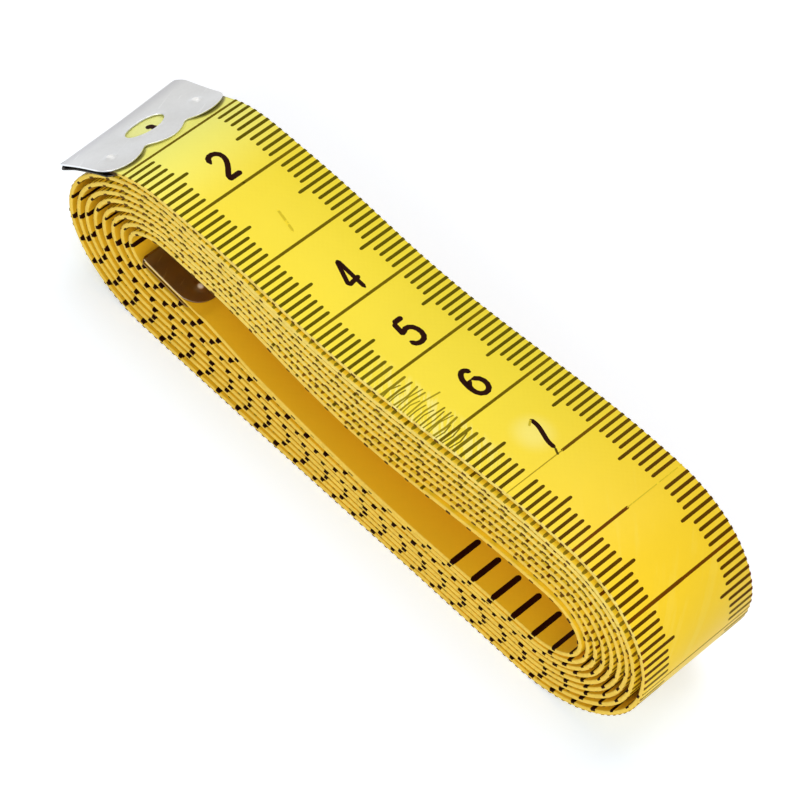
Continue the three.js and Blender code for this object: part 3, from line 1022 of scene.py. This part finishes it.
fibres = n.group(scratches, 1, Vector=in_space, Scale=5000.0, Stretch=5.0, Cover=0.5)
from_middle = n.math("ABSOLUTE", across_tape)
edge_start = (tape_width / 2 - edge_radius) * MM
cut_edge = n.ramp(from_middle, edge_start, edge_start + 0.12 * MM)
face = n.mix(n.ramp(along_tape, 0.056, 0.092), srgb(251, 226, 50), srgb(253, 212, 40))
under_hank = n.times(n.band(along_tape, 0.0995, 0.1055, 0.12, 0.135), 0.7)
face = n.mix(under_hank, face, srgb(226, 200, 116))
# paler towards the outer end, and palest inside the clip
face = n.mix(n.ramp(along_tape, 0.022, 0.0085), face, srgb(255, 250, 122))
face = n.mix(n.ramp(along_tape, 0.0088, 0.0076), face, srgb(255, 255, 158))
inch_side = n.ramp(n.stored("inch_side"), 0.7, 0.95)
# painted shade: the inch face is a deeper amber, for the shade of the hollow where it shows
yellow = n.mix(inch_side, face, srgb(234, 182, 26))
yellow = n.group(mottling, Color=yellow, Vector=in_space, Scale=70.0, Amount=0.05)
gold = n.mix(fibres, srgb(222, 178, 54), srgb(248, 214, 96))
# painted light: a paler gold for the cut edges in the upper layers of the hank, where more
# light falls
lit_gold = n.mix(fibres, srgb(222, 186, 62), srgb(252, 230, 126))
split = n.parts(in_space)
level = n.minus(split[2], n.ramp(split[0], -0.006, 0.014, 0.0, 0.0045))
upper_layer_light = n.times(n.ramp(level, 0.011, 0.017), n.ramp(split[0], -0.045, -0.02, 0.35, 1.0))
gold = n.mix(upper_layer_light, gold, lit_gold)
gold = n.group(mottling, Color=gold, Vector=in_space, Scale=300.0, Amount=0.16)
# painted shade: the cut edges inside the outer clip are dark brown
gold = n.mix(n.ramp(along_tape, 0.0094, 0.0088), gold, srgb(52, 40, 22))
color = n.mix(cut_edge, yellow, gold)

region = n.times(n.band(along_tape, 0.044, 0.054, 0.060, 0.071),
                 n.ramp(across_tape, -0.0045, -0.0062))
flecks = n.group(scratches, Vector=on_cloth, Scale=1500.0, Stretch=7.0, Turn=0.9, Cover=0.6)
flecks = n.times(flecks, region)
color = n.mix(n.times(flecks, 0.5), color, srgb(255, 248, 160))
from_bar = n.distance(on_cloth, (0.0662, -0.0006, 0.0))
color = n.mix(n.ramp(from_bar, 0.0034, 0.0006, 0.0, 0.45), color, srgb(255, 246, 150))
# painted highlights: pale streaks along the tape's folds after the 7
crease_highlights = n.group(scratches, Vector=on_cloth, Scale=420.0, Stretch=9.0, Turn=0.75, Cover=0.5)
crease_highlight_band = n.times(n.band(along_tape, 0.072, 0.084, 0.110, 0.125),
                  n.minus(0.08, n.times(cut_edge, 0.08)))
color = n.mix(n.times(crease_highlights, crease_highlight_band), color, srgb(255, 240, 130))

# painted shadow: a dark line on the tape just past the clip's mouth, under its lobes
lobe = n.plus(across_tape, (half_sheet - outer_shift) * MM)
lobe = n.math("FLOORED_MODULO", lobe, lobe_width * MM)
lobe = n.minus(lobe, lobe_width / 2 * MM)
arc = n.minus((lobe_radius * MM) ** 2, n.times(lobe, lobe))
mouth = n.plus(n.math("SQRT", arc), (clip_length - lobe_radius) * MM)
mouth_shadow = n.band(n.minus(along_tape, mouth), -0.001, -0.0006, 0.0001, 0.0005)
mouth_shadow = n.times(mouth_shadow, n.ramp(from_middle, 0.0025, 0.0055, 0.2, 0.8))
n.set(shader["Base Color"], n.mix(mouth_shadow, color, srgb(66, 46, 8)))
shader["Specular IOR Level"].default_value = 0.2

gloss = n.group(mottling, 1, Vector=on_cloth, Scale=90.0)
rough = n.plus(0.34, n.times(gloss, 0.14))
rough = n.plus(rough, n.times(cut_edge, 0.35))
n.set(shader["Roughness"], n.plus(rough, n.times(inch_side, 0.25)))

weave = n.group(threads, Vector=on_cloth, Threads=2400.0, Unevenness=0.35)
relief = n.times(weave, n.times_plus(cut_edge, 0.8, 0.2))
relief = n.plus(n.plus(relief, n.times(fibres, cut_edge)), n.times(flecks, 0.5))
n.bump(shader, 0.5, 0.05 * MM, relief)

# %% [markdown]
# ## Ink
#
# The numbers and the inch bars are brown-black, and the fine lines are thinner ink that lets
# some yellow through, browner at the right. On the cut edges of the lower layers the fine
# lines are painted browner, as shade, and in the upper layers the dots of the inch bars are
# painted paler, as light. All of it is duller than the coating. Where a stroke's fade goes up,
# it gets paler, and a cloudy noise decides which specks of ink are gone altogether, so that a
# half-worn line is broken up too.

# %% Materials of the print
def ink_finish(name, ink_color, right_color=None, lit_top_color=None, low_color=None):
    """Ink that gives way to the coating's yellow by nine tenths of its fade, and wholly where
    a noise is over 0.9 less 0.45 of the fade. right_color is its colour at the right end of
    the hank. The next colour, for the upper layers, is painted light, and the last, for the
    cut edges of the layers below those, is painted shade."""
    material, n, shader = new_material(name)
    in_space = n.add("TexCoord", output=3)
    fade = n.stored("fade")
    split = n.parts(in_space)
    fresh = n.mix(n.ramp(split[0], 0.008, 0.034), ink_color, right_color or ink_color)
    # painted light: a paler ink in the upper layers
    fresh = n.mix(n.ramp(split[2], 0.012, 0.016), fresh, lit_top_color or fresh)
    # painted shade: a browner ink on the cut edges of the lower layers
    on_edge = n.ramp(n.math("ABSOLUTE", split[1]), 0.0090, 0.0093)
    on_edge = n.times(on_edge, n.ramp(split[2], 0.0195, 0.0175))
    fresh = n.mix(on_edge, fresh, low_color or fresh)
    fresh = n.group(mottling, Color=fresh, Vector=in_space, Scale=350.0, Amount=0.35)
    specks = n.noise(in_space, 1400.0, 3.0, 0.6)
    least = n.minus(0.9, n.times(fade, 0.45))
    gone = n.ramp(specks, n.minus(least, 0.1), n.plus(least, 0.1))
    gone = n.math("MAXIMUM", gone, n.times(fade, 0.9))
    if low_color:                        # the ink that soaked in there is less worn
        gone = n.times(gone, n.times_plus(on_edge, -0.5, 1.0))
    n.set(shader["Base Color"], n.mix(gone, fresh, srgb(249, 222, 54)))
    shader["Specular IOR Level"].default_value = 0.03
    grain = n.group(mottling, 1, Vector=in_space, Scale=500.0)
    n.set(shader["Roughness"], n.times_plus(grain, 0.2, 0.4))
    n.bump(shader, 0.3, 0.03 * MM, specks)
    return material


# the browner edge colour of the fine lines is painted shade, and the paler colour of the bars
# is painted light
finishes = {
    "millimetre_lines": ink_finish("line_ink", srgb(96, 84, 0), right_color=srgb(90, 58, 0),
                                   low_color=srgb(112, 54, 0)),
    "centimetre_lines": ink_finish("long_line_ink", srgb(112, 94, 0), srgb(110, 62, 0)),
    "inch_bars": ink_finish("bar_ink", srgb(38, 10, 2), lit_top_color=srgb(98, 66, 22)),
    "numbers": ink_finish("number_ink", srgb(38, 10, 2))}
for piece in coil_print + end_print:
    piece.data.materials.append(finishes[piece.name.replace("_loose_end", "")])
for piece in (tape_coil, loose_end):
    piece.data.materials.append(coated_cloth)

# %% [markdown]
# ## Tin
#
# The clips are thin tinned steel, pressed and then handled for years. The metal is pale and
# fairly soft in its reflections. It has a rolled grain along the sheet, a few finer scratches,
# and small grey clouds where the tin has gone dull. Its rims and the tops of its pips are
# painted bright, as highlights, and a painted shade darkens it along the fold and on the rim
# of its back sheet. The clip inside the hank is painted brown, as a reflection of the shaded
# hollow round it, apart from its rims.

# %% Material of the clips
def tin(name, pips, tin_and_reflection_color, scratch_and_highlight_color, back_rim_shade_color):
    """Tinplate: a mottled colour with finer marks. Its rims, found by their distance across
    the sheet, and the tops of its pips are painted bright, as highlights. The rim under the
    tape, which lies past 12 mm in the UV map, has a colour of its own, painted as shade."""
    material, n, shader = new_material(name)
    on_sheet = n.add("UVMap", uv_map="tape")
    in_space = n.add("TexCoord", output=3)
    split = n.parts(on_sheet)
    from_middle = n.math("ABSOLUTE", split[1])
    under = n.ramp(split[0], 0.0110, 0.0114)
    rim = n.plus(from_middle, n.times(under, 0.7 * MM))
    rim = n.ramp(rim, (half_sheet - 0.14) * MM, (half_sheet - 0.04) * MM)
    folded = n.add("CombineXYZ", {0: split[0], 1: from_middle})
    pip = n.distance(folded, (pips * MM, pip_spacing / 2 * MM, 0.0))
    pip = n.ramp(pip, 0.6 * pip_radius * MM, 0.2 * pip_radius * MM)
    # painted highlights: the rims and the tops of the pips
    rim_and_pip_highlight = n.math("MAXIMUM", rim, pip)
    # painted shade: the sheet is darker grey along the fold
    fold_shade = n.ramp(split[0], 0.0022, 0.0004, 0.0, 0.4)
    tin_clouds_and_shade = n.group(mottling, Color=tin_and_reflection_color, Vector=in_space, Scale=260.0, Amount=0.12)
    tin_clouds_and_shade = n.mix(fold_shade, tin_clouds_and_shade, srgb(164, 162, 168))
    marks = n.group(scratches, Vector=on_sheet, Scale=1600.0, Stretch=12.0, Turn=1.2,
                    Cover=0.34)
    color = n.mix(n.times(marks, 0.3), tin_clouds_and_shade, scratch_and_highlight_color)
    # the rims get their bright colour as painted highlights, and the rim of the back sheet a
    # colour of its own that is painted shade
    color = n.mix(rim_and_pip_highlight, color, n.mix(under, scratch_and_highlight_color, back_rim_shade_color))
    # painted highlight: the pip tops are near white and less metallic, so that they shine like
    # a glint
    n.set(shader["Base Color"], n.mix(pip, color, srgb(250, 248, 244)))
    n.set(shader["Metallic"], n.times_plus(pip, -0.7, 1.0))
    grain = n.group(scratches, 1, Vector=on_sheet, Scale=2600.0, Stretch=30.0, Turn=1.57)
    n.set(shader["Roughness"], n.times_plus(grain, 0.18, 0.24))
    n.bump(shader, 0.25, 0.03 * MM, n.plus(n.times(grain, 0.6), marks))
    return material


# the last colour of each clip is for its back sheet's rim, and is painted shade
outer_clip.data.materials.append(tin(
    "tinplate", outer_pips, srgb(210, 210, 209), srgb(238, 238, 237), srgb(62, 58, 54)))
# the brown sheet colour of this clip is a painted reflection of the shaded hollow round it
inner_clip.data.materials.append(tin(
    "tin_with_painted_reflection", inner_pips, srgb(148, 126, 104), srgb(206, 182, 140), srgb(130, 96, 40)))

# %% [markdown]
# ## Floor, light and camera
#
# The photograph was taken on white paper under broad soft light, and its background is
# burnt out to white. The floor here is a pale sheet that catches the soft shadow. It is
# a little bluer in front, where the tape throws yellow light on it, so that the shadow
# stays grey. Rays from the camera, and rays that glossy things send out, see it and the
# world brighter, so that they come out white without any more light on the tape.

# %% Floor and world
def white_to_eyes(n, base, extra):
    """Strength that is base for light, and more for camera, glossy and transmission
    rays: the three masks are added and cut off at one."""
    path = n.add("LightPath").node.outputs
    seen = n.math("ADD", path["Is Camera Ray"], path["Is Glossy Ray"], clamp=True)
    seen = n.math("ADD", seen, path["Is Transmission Ray"], clamp=True)
    return n.times_plus(seen, extra, base)


paper, n, shader = new_material("white_paper")
in_space = n.add("TexCoord", output=3)
split = n.parts(in_space)
pale = n.mix(n.ramp(split[1], -0.012, 0.014), srgb(230, 240, 253), srgb(238, 241, 246))
pale = n.group(mottling, Color=pale, Vector=in_space, Scale=12.0, Amount=0.006)
n.set(shader["Base Color"], pale)
shader["Roughness"].default_value = 0.9
shader["Emission Color"].default_value = (1, 1, 1, 1)
n.set(shader["Emission Strength"], white_to_eyes(n, 0.0, 0.36))

side = np.linspace(-1500.0, 1500.0, 5)
x, y = np.meshgrid(side, side, indexing="ij")
quads = grid_faces(len(side), len(side), closed=False)[:, ::-1]
floor = new_piece("paper_floor", np.stack([x, y, 0 * x - 0.02], axis=-1), quads)
floor.data.materials.append(paper)

world = bpy.data.worlds.new("soft_room")
bpy.context.scene.world = world
world.use_nodes = True
n = Nodes(world.node_tree)
background = world.node_tree.nodes["Background"]
background.inputs["Color"].default_value = (1, 1, 1, 1)
n.set(background.inputs["Strength"], white_to_eyes(n, 0.3, 0.7))


def set_up(name, data, place, right, up, back):
    """Puts a lamp or camera in the scene, from its place and its own three directions."""
    holder = bpy.data.objects.new(name, data)
    turn = np.eye(4)
    turn[:3] = np.stack([right, up, back, place], axis=1)
    holder.matrix_world = Matrix(turn.tolist())
    bpy.context.scene.collection.objects.link(holder)
    return holder


def soft_light(name, place, width, level):
    """A square area light that faces the hank. Its power gives a surface that faces it
    the wanted level: power is level times pi squared times distance squared."""
    place = np.array(place)
    lamp = bpy.data.lights.new(name, "AREA")
    lamp.size = width
    lamp.energy = level * np.pi**2 * float(place @ place)
    away = place / np.linalg.norm(place)
    side = np.cross([0.0, 1.0, 0.0], away)
    side /= np.linalg.norm(side)
    set_up(name, lamp, place, side, np.cross(away, side), away)


soft_light("big_softbox", (-0.16, 0.22, 0.62), 0.55, 0.45)
soft_light("side_softbox", (0.6, -0.3, 0.4), 0.5, 0.2)
soft_light("front_softbox", (0.2, -0.75, 0.42), 0.5, 0.5)

# %% [markdown]
# The camera's place was worked out from the printed scale in the photograph. It stands
# about half a metre off, above the hank's right front, with a long lens, and is rolled
# by about 20 degrees. Its right and its backward direction are given; its up follows.

# %% Camera
lens = bpy.data.cameras.new("camera")
lens.sensor_width, lens.lens = 36.0, 210.447
lens.clip_start, lens.clip_end = 0.01, 10.0
place = np.array([155.912, -299.961, 430.379]) * MM
right = np.array([0.714178, 0.667007, 0.212254])
back = np.array([0.288179, -0.556531, 0.779247])
camera = set_up("camera", lens, place, right, np.cross(back, right), back)
bpy.context.scene.camera = camera
bpy.context.scene.view_settings.view_transform = "Standard"
